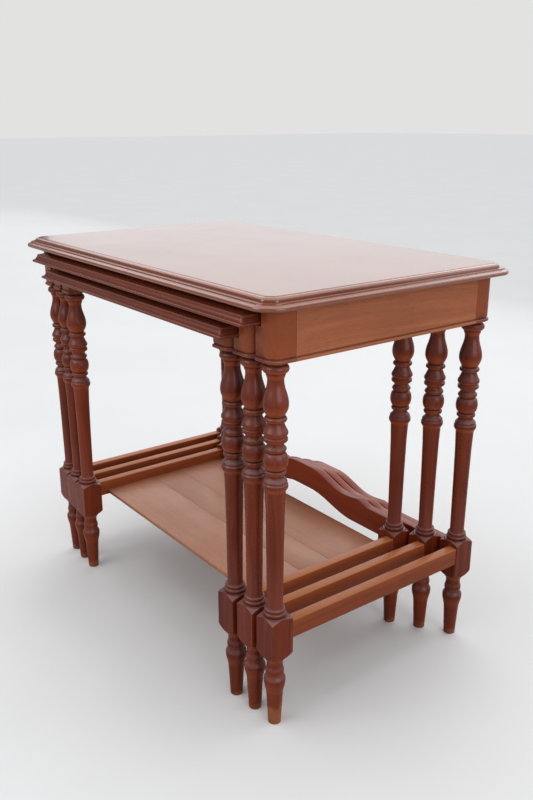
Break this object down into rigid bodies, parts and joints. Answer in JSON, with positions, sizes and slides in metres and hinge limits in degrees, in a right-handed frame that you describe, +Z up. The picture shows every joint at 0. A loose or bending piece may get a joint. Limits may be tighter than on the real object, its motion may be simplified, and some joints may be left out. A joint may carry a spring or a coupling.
{
  "type": "nesting tables",
  "caption": "Nest of side tables with moulded tops, turned legs, end stretchers and serpentine back rails; the inner tables slide out, and the smallest has a shelf.",
  "frame": {"origin": "on the ground under the middle of the nest's outline, tables pushed in", "axes": "+X to the right along the long side, +Y to the back with the serpentine rails, +Z up"},
  "size_m": [0.702, 0.451, 0.6],
  "materials": {
    "top_mahogany": "polished, worn to satin",
    "turned_mahogany": "polished, dark in the hollows",
    "frame_mahogany": "satin polish",
    "shelf_mahogany": "satin polish"
  },
  "bodies": {
    "large_table": {"l_top": "top_mahogany", "l_leg_fl": "turned_mahogany", "l_leg_fr": "turned_mahogany", "l_leg_bl": "turned_mahogany", "l_leg_br": "turned_mahogany", "l_apron_left": "frame_mahogany", "l_apron_right": "frame_mahogany", "l_apron_back": "frame_mahogany", "l_stretcher_left": "frame_mahogany", "l_stretcher_right": "frame_mahogany", "l_rail": "turned_mahogany"},
    "middle_table": {"m_top": "top_mahogany", "m_leg_fl": "turned_mahogany", "m_leg_fr": "turned_mahogany", "m_leg_bl": "turned_mahogany", "m_leg_br": "turned_mahogany", "m_apron_left": "frame_mahogany", "m_apron_right": "frame_mahogany", "m_apron_back": "frame_mahogany", "m_stretcher_left": "frame_mahogany", "m_stretcher_right": "frame_mahogany", "m_rail": "turned_mahogany"},
    "small_table": {"s_top": "top_mahogany", "s_leg_fl": "turned_mahogany", "s_leg_fr": "turned_mahogany", "s_leg_bl": "turned_mahogany", "s_leg_br": "turned_mahogany", "s_apron_left": "frame_mahogany", "s_apron_right": "frame_mahogany", "s_apron_back": "frame_mahogany", "s_stretcher_left": "frame_mahogany", "s_stretcher_right": "frame_mahogany", "s_rail": "turned_mahogany", "shelf_front": "shelf_mahogany", "shelf_middle": "shelf_mahogany", "shelf_back": "shelf_mahogany"}
  },
  "joints": [
    {"name": "middle_slides_out", "type": "slide", "parent": "large_table", "child": "middle_table", "axis": [0, -1, 0], "range_m": [0, 0.44]},
    {"name": "small_slides_out", "type": "slide", "parent": "middle_table", "child": "small_table", "axis": [0, -1, 0], "range_m": [0, 0.42]}
  ]
}
